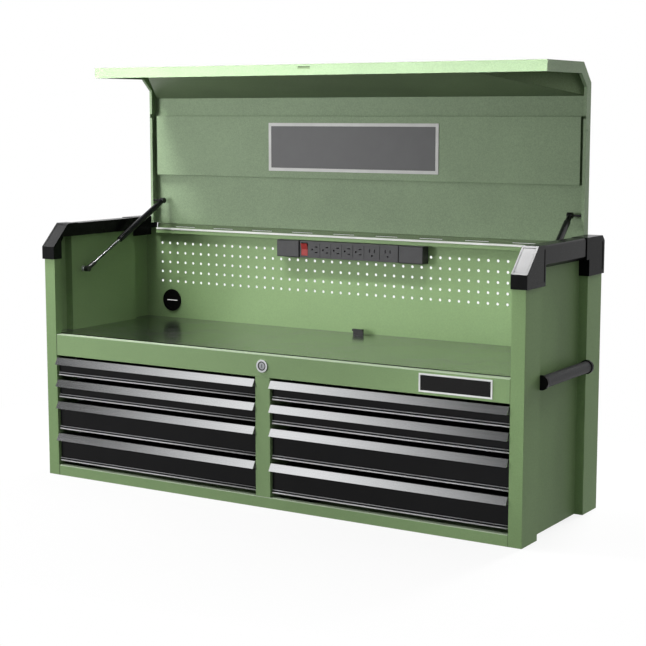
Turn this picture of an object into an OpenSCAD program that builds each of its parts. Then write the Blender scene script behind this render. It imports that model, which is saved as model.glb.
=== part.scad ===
// Steel tool chest: a lidded tray above two banks of four drawers, with its lid open.
// The origin is the middle of the base, +Z is up and the front faces -Y.

/* [Cabinet] */
// Width over the two front posts
body_w = 1270; // [1100:10:1400]
// Depth from the front of the posts to the back panel
body_d = 395; // [380:5:450]
// Thickness of the sheet steel
sheet = 1.2; // [0.8:0.1:1.6]
// Width of each front post
post_w = 31; // [28:1:40]
// Depth of the flange that turns back from each post
post_return = 20; // [18:1:30]
// Depth of the recess in each side wall
side_recess = 20; // [14:1:24]
// Length of the raised band at the front of each side
front_band = 75; // [60:1:90]
// Length of the raised band at the rear of each side
rear_band = 77; // [60:1:90]
// Height of the rail under the drawers
bottom_rail_h = 25; // [20:1:40]
// Height of the header above the drawers
header_h = 51; // [48:1:70]
// Depth of the flanges that turn back from the header and the bottom rail
rail_return = 15; // [10:1:18]
// Width of the divider between the two banks
divider_w = 39; // [38:1:60]
// Height of the tray from the header to the top of the back panel
tray_h = 236; // [200:2:280]
// Height of the side walls above the back panel
side_rise = 26; // [20:1:34]
// Thickness of the liner in the tray
liner_t = 3; // [2:0.5:5]

/* [Drawers] */
// Pitch of the two upper drawers
shallow_h = 54; // [50:1:70]
// Pitch of the two lower drawers
deep_h = 79; // [60:1:110]
// Gap above the top drawer
stack_gap = 6; // [3:1:12]
// How far the drawer fronts sit behind the posts
front_recess = 8; // [7:0.5:12]
// Gap at each end of a drawer front
front_gap = 2; // [1:0.5:4]
// Length of the drawer boxes
drawer_l = 335; // [300:5:350]
// Space between drawer and cabinet that each slide takes
slide_t = 12.2; // [11.5:0.1:15]
// Height of the cabinet slide members
slide_h = 30; // [26:1:34]
// Length of the slides
slide_l = 320; // [280:5:330]
// Height of the leaning face of a pull
pull_h = 16; // [12:1:22]
// How far the foot of the face leans forward
pull_lean = 9.5; // [7:0.5:14]
// Wall of the pull extrusion
pull_t = 1.8; // [1.2:0.1:2.4]

/* [Lid] */
// How far the closed lid's front sits behind the posts
lid_inset = 2; // [1:0.5:6]
// Gap below the closed lid, over the header and the back panel
lid_gap = 3.2; // [2.5:0.1:5]
// Gap at each side of the lid
lid_side_gap = 3; // [2.5:0.5:6]
// Size of the chamfer along the lid's front
lid_chamfer = 43.5; // [30:0.5:55]
// Depth of the lid's front lip
lid_lip = 24.5; // [18:0.5:30]
// Depth of the lid's side cheeks
lid_cheek = 23; // [16:0.5:28]
// Width of the hem along the cheeks
lid_hem = 7; // [5:0.5:12]
// Width of the stiffener across the lid
stiffener_w = 150; // [100:2:170]
// Depth of the stiffener
stiffener_t = 14; // [8:0.5:16]

/* [Hinge] */
// Outer diameter of the knuckles
knuckle_d = 8; // [7:0.5:10]
// Diameter of the hinge pin
hinge_pin_d = 3.2; // [2.4:0.2:4]
// Height of each hinge leaf
leaf_h = 24; // [18:1:30]
// Number of knuckles
knuckles = 20; // [8:2:30]

/* [Gas struts] */
// Diameter of the strut tube
tube_d = 15; // [13:0.5:18]
// Diameter of the strut rod
rod_d = 8; // [6:0.5:9]
// Length of the tube
tube_l = 172; // [160:1:180]
// Distance of the upper ball from the hinge axis
strut_reach = 64; // [56:1:72]

/* [Caps and trims] */
// Wall of the corner caps
cap_wall = 4; // [3:0.5:5]
// Size of the slope at the front corners
cap_slope = 52; // [40:1:56]
// Size of the bevel at the rear corners
cap_bevel = 9; // [6:1:12]
// Height of the caps below the top of the side walls
cap_drop = 80; // [70:1:100]
// Length of each front cap
front_cap_l = 86; // [78:1:110]
// Length of each rear cap
rear_cap_l = 95; // [85:1:110]
// Height of the trims below the top of the side walls
trim_drop = 44; // [36:1:56]
// Wall of the trims
trim_wall = 3; // [2:0.5:4]

/* [Fittings] */
// Pitch of the holes in the back panel
peg_pitch = 24.8; // [20:0.2:25]
// Diameter of the holes in the back panel
peg_d = 6.8; // [5:0.2:8]
// Holes in each row
peg_columns = 48; // [20:2:48]
// Rows of holes
peg_rows = 5; // [3:1:6]
// Length of the power strip
strip_l = 408; // [360:2:440]
// Height of the power strip
strip_h = 40; // [38:1:46]
// Depth of the power strip
strip_d = 29; // [24:1:32]
// Diameter of the handle grips
grip_d = 26; // [22:1:30]
// Diameter of the handle flanges
grip_flange_d = 31; // [28:1:38]
// Diameter of the lock's bezel
bezel_d = 29; // [26:1:34]
// Diameter of the cable grommet
grommet_d = 57; // [50:1:70]

/* [Hidden] */
BANKS = [-1, 1];
ROWS = [0:3];
function bank_name(bank) = bank < 0 ? "left" : "right";
function drawer_name(bank, i, piece) = str(bank_name(bank), "_drawer_", i + 1, "_", piece);
$fn = 48;

// Clearances: flat pieces that run past each other, turning pins, and cuts that pass through
run_gap = 0.3;
pin_gap = 0.05;
cut = 1;

// Levels and faces of the cabinet
half_w = body_w / 2;
front_y = -body_d / 2;
back_y = body_d / 2;
inner_y = back_y - sheet;
open_x = half_w - post_w;
band_x = half_w - sheet;
recess_x = half_w - side_recess;
wall_x = recess_x - sheet;
rail_z = bottom_rail_h;
open_top = rail_z + stack_gap + 2 * shallow_h + 2 * deep_h;
header_top = open_top + header_h;
tray_z = header_top - sheet;
liner_z = tray_z + liner_t;
back_top = header_top + tray_h;
side_top = back_top + side_rise;
header_flange = post_return - 2;
divider_top = tray_z - sheet - 3.2;
divider_web = 60;
divider_web_y = front_y + divider_web;

// Back panel's folded top edge
back_flange = 15;
back_lip = 13;
back_flange_hw = open_x - lid_side_gap - lid_hem - 2;

// Lid in its closed place, and the hinge that carries it
lid_top = back_top + lid_gap;
lid_bottom = header_top + lid_gap;
lid_front = front_y + lid_inset;
lid_hw = open_x - lid_side_gap;
hinge_y = back_y + knuckle_d / 2;
hinge_z = lid_top + knuckle_d / 2;
leaf_clear = knuckle_d / 2 + 0.4;
lid_rear = hinge_y - leaf_clear;
lid_open_angle = 90;
hinge_hw = lid_hw - 3;
corner_share = tan(22.5);
cheek_rear = inner_y - 1;
cheek_z = lid_top - lid_cheek;
cheek_y = lid_front + lid_lip;
chamfer_in_y = lid_front + lid_chamfer + lid_cheek * corner_share;
chamfer_in_z = lid_top - lid_chamfer - lid_lip * corner_share;
liner_lean = 47.7;
liner_flange = 20;
stiffener_reach = 276;
stiffener_y = lid_rear - stiffener_reach;
stiffener_hw = lid_hw - 16;
strike_w = 33;
strike_x = 8;
notch_l = 10;
cheek_hole_d = 5;
cheek_hole_y = 30;

// Gas struts, given for the right side
ball_d = 10;
socket_w = 12;
socket_d = 14;
gland_l = 12;
rod_end_d = 12;
rod_end_l = 28;
tube_end_d = 12;
tube_end_l = 20;
tube_floor = 6;
stud_d = 5;
stud_foot_d = 14;
stud_foot_t = 2.5;
pivot_gap = 3;
piston_l = 10;
rod_in_tube = 24;
tube_wall = 1.5;
foot_reach = 14;
foot_y = 115;
foot_rise = 150;
head_reach = 48;
head_y = 19;
body_ball = [wall_x - foot_reach, front_y + foot_y, header_top + foot_rise];
lid_ball = [wall_x - head_reach, back_y - head_y, hinge_z + strut_reach];
strut_run = lid_ball - body_ball;
strut_l = norm(strut_run);
tube_start = strut_l - socket_d / 2 - tube_l;

// Drawers
bank_x0 = divider_w / 2;
bank_x1 = open_x;
slide_sheet = 1.2;
slide_w = 10;
slide_lip = 4;
slide_y = front_y + front_recess + 4;
front_plane = front_y + front_recess;
box_floor_gap = 12;
box_top_gap = 9;
bead_d = 5;
drawer_gap = 10;
pull_plate = 18;
pull_curl = [5, 1];
function pitch(i) = i < 2 ? shallow_h : deep_h;
function rows_above(i) = i == 0 ? 0 : rows_above(i - 1) + pitch(i - 1);
function row_top(i) = open_top - stack_gap - rows_above(i);
function row_bottom(i) = row_top(i) - pitch(i);
function box_low(i) = row_bottom(i) + box_floor_gap;
function box_high(i) = row_top(i) - box_top_gap;
function slide_z(i) = (box_low(i) + box_high(i)) / 2;

// Caps and trims
cap_lip = 1.6;
cap_low = side_top - cap_drop;
trim_low = side_top - trim_drop;
front_cap_end = front_y + front_cap_l;
rear_cap_start = back_y - rear_cap_l;
skirt_end = front_y + post_return + 5;
bevel_share = sqrt(2) - 1;
panel_margin = 4.5;
panel_depth = 1;
trim_foot = 8;
skirt_drop = 28;
skirt_low = side_top - skirt_drop;
rear_skirt_end = inner_y - 20;

// Power strip
strip_y = inner_y - strip_d;
strip_rim = 1;
strip_z = back_top - back_lip - strip_rim - run_gap - strip_h;
strip_end_l = 64;
strip_groove = 3;
strip_proud = 2;
rocker_w = 18;
rocker_h = 30;
rocker_d = 9;
rocker_tip = 7;
rocker_gap = 0.6;
rocker_pin_d = 3;
rocker_x = -strip_l / 2 + strip_end_l + strip_groove + 4 + rocker_w / 2;
rocker_y = strip_y + strip_proud + 4;
rocker_z = strip_z + strip_h / 2;
outlet_narrow = 31;
outlet_wide = 43;
outlet_x0 = rocker_x + rocker_w / 2 + 5;

// Lock
lock_z = open_top + header_h / 2;
barrel_d = 20;
barrel_l = 22;
plug_d = 16;
bezel_t = 3;
tail_w = 6;
cam_y = front_y + barrel_l + 2;
cam_t = 2;
crank = 14;
crank_angle = 45;
crank_pin_d = 4;
tongue_y = cam_y + cam_t + 1.5;
tongue_t = 2;
bar_w = 18;
bar_low = divider_top + run_gap;
bar_t = 2.6;
bar_x = -crank * sin(crank_angle);
bar_travel = 2 * crank * sin(crank_angle);
slot_play = 0.7;
tab_w = 28;
tab_x = 14;
tab_t = 3;
tab_y = back_y - 27;
tab_h = 14;

// Cable grommet and handles
grommet_inset = 83;
grommet_rise = 47;
grommet_x = -half_w + grommet_inset;
grommet_z = header_top + grommet_rise;
grommet_hole_d = grommet_d - 9;
grip_x = half_w + 3;
grip_z = header_top - 16;
grip_flange_t = 7;
grip_y0 = front_y + front_band;
grip_y1 = back_y - rear_band;
peg_drop = 40;
peg_top_z = back_top - peg_drop;

// Colours
green = [0.50, 0.62, 0.44];
black = [0.09, 0.09, 0.10];
plastic = [0.13, 0.13, 0.14];
steel = [0.62, 0.63, 0.65];
aluminium = [0.78, 0.79, 0.80];
chrome = [0.85, 0.86, 0.88];
red = [0.78, 0.08, 0.08];
liner_grey = [0.17, 0.18, 0.17];

// Geometry helpers

function left_of(a, b) = [a.y - b.y, b.x - a.x] / norm(b - a);
function reversed(p) = [for (i = [len(p) - 1:-1:0]) p[i]];
function mirrored(p) = [for (q = p) [-q.x, q.y]];

// The other face of a folded sheet, one thickness to the left of its first face
function inset_line(p, t) = [
    for (i = [0:len(p) - 1])
        let (before = i == 0 ? left_of(p[0], p[1]) : left_of(p[i - 1], p[i]),
             after = i == len(p) - 1 ? before : left_of(p[i], p[i + 1]))
        p[i] + t * (before + after) / (1 + before * after)
];

module folded(p, t = sheet) {
    polygon(concat(p, reversed(inset_line(p, t))));
}

module block(low, high) {
    translate(low) cube(high - low);
}

// Extrudes a profile drawn in Y and Z
module along_x(x0, x1) {
    translate([x0, 0, 0]) rotate([90, 0, 90]) linear_extrude(x1 - x0) children();
}

// Extrudes a profile drawn in X and Z
module along_y(y0, y1) {
    translate([0, y1, 0]) rotate([90, 0, 0]) linear_extrude(y1 - y0) children();
}

// A round rod that points along +Y
module rod_y(d, y0, y1) {
    translate([0, y1, 0]) rotate([90, 0, 0]) cylinder(d = d, h = y1 - y0);
}

// A round rod that points along +X
module rod_x(d, x0, x1) {
    translate([x0, 0, 0]) rotate([0, 90, 0]) cylinder(d = d, h = x1 - x0);
}

module on_both_sides() {
    children();
    mirror([1, 0, 0]) children();
}

module on_side(side) {
    mirror([side < 0 ? 1 : 0, 0, 0]) children();
}

// Swings what is drawn closed up to the open lid
module opened() {
    translate([0, hinge_y, hinge_z])
        rotate([-lid_open_angle, 0, 0])
            translate([0, -hinge_y, -hinge_z])
                children();
}

// Outline of the chest's side, seen along X, grown by a wall
module crown(wall, low) {
    share = wall * bevel_share;
    polygon([
        [front_y - wall, low],
        [front_y - wall, side_top - cap_slope + share],
        [front_y + cap_slope - share, side_top + wall],
        [back_y - cap_bevel + share, side_top + wall],
        [back_y + wall, side_top - cap_bevel + share],
        [back_y + wall, low],
    ]);
}

// Plan of the space between the side panels, from a front edge to the back panel
module inside_plan(y0) {
    right_edge = [
        [open_x, y0],
        [open_x, front_y + post_return],
        [band_x, front_y + post_return],
        [band_x, front_y + front_band - sheet],
        [wall_x, front_y + front_band - sheet],
        [wall_x, back_y - rear_band + sheet],
        [band_x, back_y - rear_band + sheet],
        [band_x, inner_y],
    ];
    polygon(concat(right_edge, reversed(mirrored(right_edge))));
}

// Cabinet

module side_panel() {
    color(green) intersection() {
        linear_extrude(side_top) folded([
            [open_x, front_y + post_return],
            [open_x, front_y],
            [half_w, front_y],
            [half_w, front_y + front_band],
            [recess_x, front_y + front_band],
            [recess_x, back_y - rear_band],
            [half_w, back_y - rear_band],
            [half_w, inner_y],
        ]);
        along_x(0, body_w) crown(0, 0);
    }
}

module left_side_panel() {
    mirror([1, 0, 0]) side_panel();
}

module right_side_panel() {
    side_panel();
}

module peg_holes() {
    for (column = [0:peg_columns - 1], row = [0:peg_rows - 1])
        translate([(column - (peg_columns - 1) / 2) * peg_pitch, 0, peg_top_z - row * peg_pitch])
            rod_y(peg_d, inner_y - cut, back_y + cut);
}

module back_panel() {
    color(green) difference() {
        union() {
            block([-half_w, inner_y, 0], [half_w, back_y, back_top]);
            along_x(-back_flange_hw, back_flange_hw) folded([
                [back_y, back_top],
                [back_y - back_flange, back_top],
                [back_y - back_flange, back_top - back_lip],
            ]);
        }
        peg_holes();
        translate([grommet_x, 0, grommet_z]) rod_y(grommet_hole_d, inner_y - cut, back_y + cut);
    }
}

module tray_slot(low, high) {
    block([tab_x - slot_play, tab_y - slot_play, low],
          [tab_x + tab_w + bar_travel + slot_play, tab_y + tab_t + slot_play, high]);
}

module tray_floor() {
    color(green) difference() {
        translate([0, 0, tray_z - sheet]) linear_extrude(sheet) inside_plan(front_y + sheet);
        tray_slot(tray_z - sheet - cut, tray_z + cut);
    }
}

module tray_liner() {
    color(liner_grey) difference() {
        translate([0, 0, tray_z]) linear_extrude(liner_t) inside_plan(front_y + header_flange + run_gap);
        tray_slot(tray_z - cut, liner_z + cut);
    }
}

module front_header() {
    color(green) difference() {
        along_x(-open_x, open_x) folded([
            [front_y + header_flange, header_top],
            [front_y, header_top],
            [front_y, open_top],
            [front_y + rail_return, open_top],
        ]);
        translate([0, 0, lock_z]) rod_y(barrel_d + 2 * pin_gap, front_y - cut, front_y + sheet + cut);
    }
}

module centre_divider() {
    web = [
        [front_y, rail_z],
        [front_y + rail_return, rail_z],
        [front_y + rail_return, sheet],
        [inner_y, sheet],
        [inner_y, divider_top],
        [divider_web_y, divider_top],
        [divider_web_y, open_top],
        [front_y, open_top],
    ];
    color(green) {
        on_both_sides() along_x(bank_x0 - sheet, bank_x0) polygon(web);
        block([-bank_x0, front_y, rail_z], [bank_x0, front_y + sheet, open_top]);
        block([-bank_x0, divider_web_y, divider_top - sheet], [bank_x0, inner_y, divider_top]);
    }
}

module bottom_panel() {
    color(green) {
        along_x(-open_x, open_x) folded([
            [front_y + rail_return, rail_z],
            [front_y, rail_z],
            [front_y, 0],
            [front_y + post_return, 0],
        ]);
        linear_extrude(sheet) inside_plan(front_y);
    }
}

module slide_uprights() {
    upright_w = 24;
    upright_inset = 10;
    front_row = front_y + front_band + upright_inset;
    rear_row = back_y - rear_band - upright_inset - upright_w;
    color(steel) on_both_sides() for (y = [front_row, rear_row])
        translate([0, 0, sheet]) linear_extrude(open_top - sheet) folded([
            [wall_x, y + upright_w],
            [open_x, y + upright_w],
            [open_x, y],
            [wall_x, y],
        ]);
}

// Cabinet half of a slide, for a wall at X = 0 with the drawer on its -X side
module cabinet_member() {
    h = slide_h / 2;
    along_y(slide_y, slide_y + slide_l) folded([
        [-slide_w, h - slide_lip],
        [-slide_w, h],
        [0, h],
        [0, -h],
        [-slide_w, -h],
        [-slide_w, -h + slide_lip],
    ], -slide_sheet);
}

// Drawer half of a slide, which runs between the lips of the cabinet half
module drawer_member() {
    h = slide_h / 2 - slide_lip - run_gap;
    reach = slide_sheet + 1.8;
    along_y(slide_y, slide_y + slide_l) folded([
        [-reach, h],
        [-slide_t, h],
        [-slide_t, -h],
        [-reach, -h],
    ], slide_sheet);
}

// Puts a slide half on both walls of a bank's opening
module on_bank_walls(i) {
    translate([bank_x1, 0, slide_z(i)]) children();
    translate([bank_x0, 0, slide_z(i)]) mirror([1, 0, 0]) children();
}

module cabinet_slides() {
    color(steel) on_both_sides() for (i = ROWS) on_bank_walls(i) cabinet_member();
}

// Caps, trims and handles

// Keeps the stretch of a profile from y0 to y1, above a level
module between_y(y0, y1, low = 0) {
    intersection() {
        children();
        translate([y0, low]) square([y1 - y0, 2 * side_top]);
    }
}

module front_cap() {
    slope_mid = [front_y - cap_wall + cap_slope / 2 + 1, side_top + cap_wall - cap_slope / 2 - 1];
    panel_x0 = open_x - cap_lip + panel_margin;
    panel_x1 = half_w + cap_wall - panel_margin;
    panel_l = cap_slope * sqrt(2) - 2 * panel_margin;
    side_x = half_w + cap_wall - panel_depth;
    difference() {
        along_x(open_x - cap_lip, half_w + cap_wall)
            between_y(front_y - cap_wall, front_cap_end) crown(cap_wall, cap_low);
        along_x(open_x, recess_x) crown(0, cap_low - cut);
        along_x(recess_x - cut, half_w) {
            between_y(front_y, front_cap_end - cap_wall) crown(0, cap_low - cut);
            between_y(front_y, front_cap_end + cut, trim_low + trim_wall) crown(0, cap_low - cut);
        }
        block([open_x - cap_lip - cut, skirt_end, cap_low - cut],
              [open_x + cut, front_cap_end + cut, skirt_low]);
        translate([(panel_x0 + panel_x1) / 2, slope_mid.x, slope_mid.y])
            rotate([45, 0, 0])
                cube([panel_x1 - panel_x0, panel_l, 2 * panel_depth], center = true);
        along_x(side_x, side_x + panel_depth + cut)
            between_y(front_y + 3 * panel_margin, front_cap_end - panel_margin)
                crown(cap_wall - 2 * panel_margin, cap_low + 2 * panel_margin);
    }
}

module front_caps() {
    color(plastic) on_both_sides() front_cap();
}

module rear_cap() {
    return_y = back_y - rear_band - cap_wall;
    side_x = half_w + cap_wall - panel_depth;
    difference() {
        along_x(open_x - cap_lip, half_w + cap_wall)
            between_y(rear_cap_start, back_y + cap_wall) crown(cap_wall, cap_low);
        along_x(open_x, half_w) between_y(return_y + cap_wall, back_y) crown(0, cap_low - cut);
        along_x(open_x, half_w)
            between_y(rear_cap_start - cut, back_y, trim_low + trim_wall) crown(0, cap_low - cut);
        along_x(open_x, recess_x) crown(0, cap_low - cut);
        block([open_x - cap_lip - cut, rear_cap_start - cut, cap_low - cut],
              [open_x + cut, back_y, trim_low]);
        block([open_x - cap_lip - cut, rear_skirt_end, trim_low - cut], [open_x + cut, back_y, back_top]);
        block([open_x, rear_cap_start - cut, cap_low - cut],
              [half_w + cap_wall + cut, return_y, trim_low]);
        block([side_x, return_y + 3 * panel_margin, cap_low + 2 * panel_margin],
              [side_x + panel_depth + cut, back_y - panel_margin, side_top - 2 * panel_margin]);
    }
}

module rear_caps() {
    color(plastic) on_both_sides() rear_cap();
}

module top_trim() {
    x0 = open_x - cap_lip;
    x1 = half_w + cap_wall / 2;
    bevel = 3;
    share = trim_wall * bevel_share;
    along_y(front_cap_end, rear_cap_start) difference() {
        polygon([
            [x0, trim_low],
            [x1 - trim_foot, trim_low],
            [x1, trim_low + trim_foot],
            [x1, side_top + trim_wall - bevel],
            [x1 - bevel, side_top + trim_wall],
            [x0, side_top + trim_wall],
        ]);
        polygon([
            [x0 + cap_lip, trim_low + trim_wall],
            [x1 - trim_foot - share, trim_low + trim_wall],
            [x1 - trim_wall, trim_low + trim_foot + share],
            [x1 - trim_wall, side_top],
            [x0 + cap_lip, side_top],
        ]);
        translate([x0 + cap_lip, trim_low - cut]) square([recess_x - x0 - cap_lip, trim_wall + 2 * cut]);
        translate([x0 - cut, trim_low - cut]) square([cap_lip + 2 * cut, skirt_low - trim_low + cut]);
    }
}

module top_trims() {
    color(plastic) on_both_sides() top_trim();
}

module handle_grips() {
    color(black) on_both_sides() translate([grip_x, 0, grip_z])
        rod_y(grip_d, grip_y0 + grip_flange_t, grip_y1 - grip_flange_t);
}

module handle_flanges() {
    color(plastic) on_both_sides() translate([grip_x, 0, grip_z]) {
        rod_y(grip_flange_d, grip_y0, grip_y0 + grip_flange_t);
        rod_y(grip_flange_d, grip_y1 - grip_flange_t, grip_y1);
    }
}

// Power strip

// Three slots of one outlet, turned upright on the wide ones
module outlet_slots(turn) {
    slot_depth = 12;
    blade = [2.2, 8];
    spread = 6.5;
    translate([0, strip_y + strip_proud, rocker_z]) rotate([90, turn, 0])
        translate([0, 0, -slot_depth]) linear_extrude(slot_depth + cut) {
            translate([-spread, 4]) square(blade, center = true);
            translate([spread, 4]) square(blade, center = true);
            translate([0, -7.5]) circle(d = 4.6);
        }
}

// Groove between one outlet and the next
module outlet_groove(x, w) {
    line = 1;
    margin = 4;
    block([x + w - line, strip_y + strip_proud - cut, strip_z + margin],
          [x + w, strip_y + strip_proud + line, strip_z + strip_h - margin]);
}

module power_strip_housing() {
    narrow = 5;
    wide_x0 = outlet_x0 + narrow * outlet_narrow;
    pocket_w = rocker_w + 2 * rocker_gap;
    pocket_h = rocker_h + 2 * rocker_gap + 1;
    color(black) difference() {
        block([-strip_l / 2 + strip_end_l, strip_y + strip_proud, strip_z],
              [strip_l / 2 - strip_end_l, inner_y, strip_z + strip_h]);
        translate([rocker_x - pocket_w / 2, strip_y + strip_proud - cut, rocker_z - pocket_h / 2])
            cube([pocket_w, rocker_d + 6 + cut, pocket_h]);
        translate([rocker_x, rocker_y, rocker_z])
            rod_x(rocker_pin_d + 2 * pin_gap, -pocket_w / 2 - 3, pocket_w / 2 + 3);
        for (k = [0:narrow - 1]) {
            translate([outlet_x0 + (k + 0.5) * outlet_narrow, 0, 0]) outlet_slots(90);
            outlet_groove(outlet_x0 + k * outlet_narrow, outlet_narrow);
        }
        for (k = [0:1]) translate([wide_x0 + (k + 0.5) * outlet_wide, 0, 0]) outlet_slots(0);
        outlet_groove(wide_x0, outlet_wide);
        on_both_sides() block(
            [strip_l / 2 - strip_end_l - strip_groove, strip_y + strip_proud - cut, strip_z - cut],
            [strip_l / 2 - strip_end_l + cut, strip_y + strip_proud + 4, strip_z + strip_h + cut]);
    }
}

module power_strip_ends() {
    bevel = 3;
    low = strip_z - strip_rim;
    high = strip_z + strip_h + strip_rim;
    color(plastic) on_both_sides() along_x(strip_l / 2 - strip_end_l, strip_l / 2) polygon([
        [inner_y, low],
        [inner_y, high],
        [strip_y + bevel, high],
        [strip_y, high - bevel],
        [strip_y, low + bevel / 2],
        [strip_y + bevel / 2, low],
    ]);
}

// Tipping switch with its two faces at an angle, drawn with its lower half pressed
module rocker_switch() {
    h = rocker_h / 2;
    rise = h * tan(rocker_tip);
    color(red) translate([rocker_x, rocker_y, rocker_z]) rotate([rocker_tip, 0, 0]) {
        along_x(-rocker_w / 2, rocker_w / 2) polygon([
            [-4 - rise, -h], [-4, 0], [-4 - rise, h], [3, h - 3], [3, -h + 3],
        ]);
        rod_x(rocker_pin_d, -rocker_w / 2 - 2, rocker_w / 2 + 2);
    }
}

module cable_grommet() {
    flange_t = 3;
    slit = [grommet_hole_d * 0.72, 1.6];
    color(black) translate([grommet_x, 0, grommet_z]) difference() {
        union() {
            rod_y(grommet_d, inner_y - flange_t, inner_y);
            rod_y(grommet_hole_d - 2 * pin_gap, inner_y - flange_t, back_y + flange_t);
        }
        rod_y(grommet_hole_d - 6, inner_y - flange_t - cut, inner_y - flange_t + 1.2);
        rod_y(grommet_hole_d - 6, inner_y + 0.6, back_y + flange_t + cut);
        translate([0, inner_y, 0]) cube([slit.x, 4 * flange_t, slit.y], center = true);
    }
}

// Lock

module lock_barrel() {
    color(chrome) translate([0, 0, lock_z]) difference() {
        union() {
            rod_y(bezel_d, front_y - bezel_t, front_y);
            rod_y(barrel_d, front_y - bezel_t, front_y + barrel_l);
        }
        rod_y(plug_d + 2 * pin_gap, front_y - bezel_t - cut, front_y + barrel_l + cut);
    }
}

module lock_plug() {
    key_w = 1.8;
    key_h = 8;
    color(chrome) translate([0, 0, lock_z]) difference() {
        union() {
            rod_y(plug_d, front_y - bezel_t + 0.6, front_y + barrel_l + run_gap);
            block([-tail_w / 2, front_y, -tail_w / 2], [tail_w / 2, cam_y + cam_t, tail_w / 2]);
        }
        block([-key_w / 2, front_y - bezel_t - cut, -key_h / 2], [key_w / 2, front_y + 8, key_h / 2]);
    }
}

module lock_cam() {
    tail_hole = tail_w / 2 + pin_gap;
    color(steel) translate([0, 0, lock_z]) difference() {
        rotate([0, -crank_angle, 0]) {
            rod_y(tail_w + 9, front_y + barrel_l + run_gap, cam_y + cam_t);
            block([-4, front_y + barrel_l + run_gap, 0], [4, cam_y + cam_t, crank]);
            translate([0, 0, crank]) {
                rod_y(8, front_y + barrel_l + run_gap, cam_y + cam_t);
                rod_y(crank_pin_d, cam_y, tongue_y + tongue_t + 1.5);
            }
        }
        block([-tail_hole, front_y, -tail_hole], [tail_hole, cam_y + cam_t + cut, tail_hole]);
    }
}

// Sliding bar under the tray, with a slotted tongue on the cam's pin and a tab through the tray
module lock_bar() {
    slot_w = crank_pin_d + 2 * slot_play;
    slot_low = lock_z + crank * cos(crank_angle) - slot_w / 2 - slot_play;
    slot_high = lock_z + crank + slot_w / 2 + slot_play;
    bar_high = bar_low + bar_t;
    color(plastic) difference() {
        union() {
            block([bar_x - bar_w / 2, tongue_y, slot_low - 4],
                  [bar_x + bar_w / 2, tongue_y + tongue_t, bar_high]);
            block([bar_x - bar_w / 2, tongue_y, bar_low], [bar_x + bar_w / 2, tab_y + 10, bar_high]);
            block([bar_x, tab_y - 8, bar_low], [tab_x + tab_w, tab_y + 10, bar_high]);
            block([tab_x, tab_y, bar_low], [tab_x + tab_w, tab_y + tab_t, liner_z + tab_h]);
            block([tab_x, tab_y - 5, liner_z + tab_h - 5],
                  [tab_x + tab_w, tab_y + tab_t, liner_z + tab_h]);
        }
        block([bar_x - slot_w / 2, tongue_y - cut, slot_low],
              [bar_x + slot_w / 2, tongue_y + tongue_t + cut, slot_high]);
    }
}

// Lid, drawn closed and swung open

module lid_shell() {
    hem_line = [
        [cheek_rear, cheek_z],
        [chamfer_in_y, cheek_z],
        [cheek_y, chamfer_in_z],
        [cheek_y, lid_bottom],
    ];
    outer_line = [
        [lid_front + lid_chamfer, lid_top],
        [lid_front, lid_top - lid_chamfer],
        [lid_front, lid_bottom],
        [cheek_y, lid_bottom],
    ];
    skin_line = concat([[lid_rear, lid_top]], outer_line);
    cheek_line = concat([[cheek_rear, lid_top]], outer_line);
    color(green) opened() difference() {
        union() {
            along_x(-lid_hw, lid_hw) folded(skin_line);
            on_both_sides() {
                along_x(lid_hw - sheet, lid_hw) polygon(concat(cheek_line, reversed(hem_line)));
                along_x(lid_hw - lid_hem, lid_hw) folded(hem_line, -sheet);
            }
        }
        block([strike_x - strike_w / 2, lid_front + 5, lid_bottom - cut],
              [strike_x + strike_w / 2, lid_front + 11, lid_bottom + sheet + cut]);
        on_both_sides() {
            block([lid_hw - lid_hem - cut, stiffener_y - notch_l / 2, cheek_z - cut],
                  [lid_hw - sheet, stiffener_y + notch_l / 2, cheek_z + sheet + cut]);
            translate([0, stiffener_y + cheek_hole_y, cheek_z + cheek_hole_d])
                rod_x(cheek_hole_d, lid_hw - sheet - cut, lid_hw + cut);
        }
    }
}

// Leaning inner skin behind the lid's front, with a flange on the lip and one under the top
module lid_liner() {
    liner_hw = lid_hw - lid_hem - 0.8;
    top_y = cheek_y + liner_lean;
    color(green) opened() along_x(-liner_hw, liner_hw) folded([
        [top_y - liner_flange, lid_top - sheet],
        [top_y, lid_top - sheet],
        [cheek_y, lid_bottom + sheet],
        [cheek_y - liner_flange, lid_bottom + sheet],
    ], -sheet);
}

module lid_stiffener() {
    inner_top = lid_top - sheet;
    color(green) opened() along_x(-stiffener_hw, stiffener_hw) folded([
        [stiffener_y + stiffener_w, inner_top],
        [stiffener_y + stiffener_w, inner_top - stiffener_t],
        [stiffener_y, inner_top - stiffener_t],
        [stiffener_y, inner_top],
    ], -sheet);
}

// Hinge

knuckle_pitch = 2 * hinge_hw / knuckles;
function knuckle_x(k) = -hinge_hw + k * knuckle_pitch;

// A leaf that hangs below the hinge axis, with every second knuckle
module hinge_leaf(first) {
    difference() {
        union() {
            block([-hinge_hw, back_y, hinge_z - leaf_clear - leaf_h],
                  [hinge_hw, back_y + sheet, hinge_z - leaf_clear]);
            for (k = [first:2:knuckles - 1]) {
                x0 = knuckle_x(k) + run_gap / 2;
                x1 = knuckle_x(k + 1) - run_gap / 2;
                block([x0, back_y, hinge_z - leaf_clear - sheet], [x1, back_y + sheet, hinge_z]);
                translate([0, hinge_y, hinge_z]) rod_x(knuckle_d, x0, x1);
            }
        }
        translate([0, hinge_y, hinge_z])
            rod_x(hinge_pin_d + 2 * pin_gap, -hinge_hw - cut, hinge_hw + cut);
    }
}

module hinge_body_leaf() {
    color(steel) hinge_leaf(0);
}

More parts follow.
